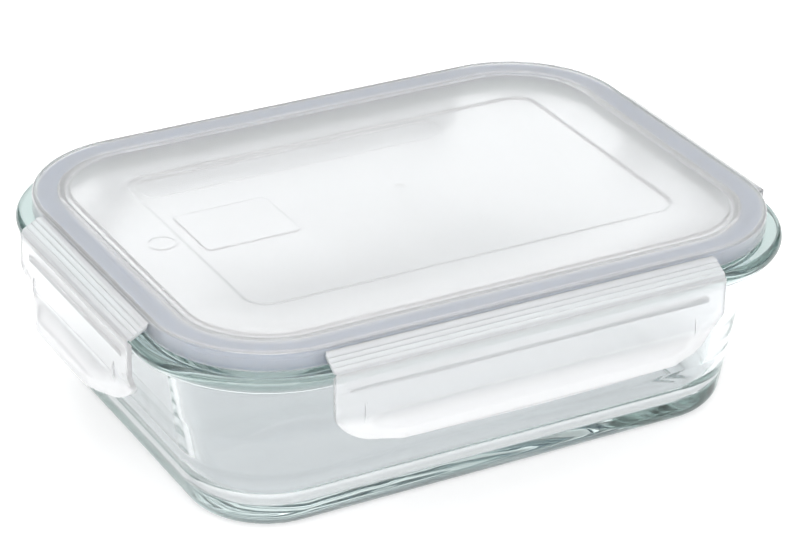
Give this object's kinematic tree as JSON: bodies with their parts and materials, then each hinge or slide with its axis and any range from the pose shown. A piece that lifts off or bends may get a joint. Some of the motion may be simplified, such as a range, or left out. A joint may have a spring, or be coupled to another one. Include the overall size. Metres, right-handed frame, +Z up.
{
  "type": "snap lid food container",
  "caption": "Rectangular glass food dish with a frosted plastic lid, a sealing gasket and a hinged snap flap on each side.",
  "frame": {"origin": "on the table, under the middle of the closed container", "axes": "+X along the long side, to the right when the front long side faces the viewer; +Y to the back; +Z up"},
  "size_m": [0.2192, 0.1682, 0.064],
  "materials": {
    "glass": "clear pressed borosilicate glass, faint green where thick",
    "plastic": "frosted translucent polypropylene",
    "silicone": "matt blue-grey silicone"
  },
  "bodies": {
    "base": {"glass_base": "glass"},
    "lid": {"lid_panel": "plastic", "gasket": "silicone"},
    "front_strip": {"front_hinge_strip": "plastic"},
    "front_flap": {"front_flap": "plastic"},
    "back_strip": {"back_hinge_strip": "plastic"},
    "back_flap": {"back_flap": "plastic"},
    "left_strip": {"left_hinge_strip": "plastic"},
    "left_flap": {"left_flap": "plastic"},
    "right_strip": {"right_hinge_strip": "plastic"},
    "right_flap": {"right_flap": "plastic"}
  },
  "joints": [
    {"name": "lid_lift", "type": "slide", "parent": "base", "child": "lid", "axis": [0, 0, 1], "range_m": [0, 0.016]},
    {"name": "front_strip_hinge", "type": "hinge", "parent": "lid", "child": "front_strip", "pos_m": [0, -0.0738, 0.0622], "axis": [-1, 0, 0], "range_deg": [0, 110.1]},
    {"name": "front_flap_hinge", "type": "hinge", "parent": "front_strip", "child": "front_flap", "pos_m": [0, -0.0802, 0.0586], "axis": [-1, 0, 0], "range_deg": [0, 100]},
    {"name": "back_strip_hinge", "type": "hinge", "parent": "lid", "child": "back_strip", "pos_m": [0, 0.0738, 0.0622], "axis": [1, 0, 0], "range_deg": [0, 110.1]},
    {"name": "back_flap_hinge", "type": "hinge", "parent": "back_strip", "child": "back_flap", "pos_m": [0, 0.0802, 0.0586], "axis": [1, 0, 0], "range_deg": [0, 100]},
    {"name": "left_strip_hinge", "type": "hinge", "parent": "lid", "child": "left_strip", "pos_m": [-0.0993, 0, 0.0622], "axis": [0, 1, 0], "range_deg": [0, 110.1]},
    {"name": "left_flap_hinge", "type": "hinge", "parent": "left_strip", "child": "left_flap", "pos_m": [-0.1057, 0, 0.0586], "axis": [0, 1, 0], "range_deg": [0, 100]},
    {"name": "right_strip_hinge", "type": "hinge", "parent": "lid", "child": "right_strip", "pos_m": [0.0993, 0, 0.0622], "axis": [0, -1, 0], "range_deg": [0, 110.1]},
    {"name": "right_flap_hinge", "type": "hinge", "parent": "right_strip", "child": "right_flap", "pos_m": [0.1057, 0, 0.0586], "axis": [0, -1, 0], "range_deg": [0, 100]}
  ],
  "couplings": [
    {"joint": "front_strip_hinge", "follows": "lid_lift", "rad_per_m": 120},
    {"joint": "back_strip_hinge", "follows": "lid_lift", "rad_per_m": 120},
    {"joint": "left_strip_hinge", "follows": "lid_lift", "rad_per_m": 120},
    {"joint": "right_strip_hinge", "follows": "lid_lift", "rad_per_m": 120}
  ]
}
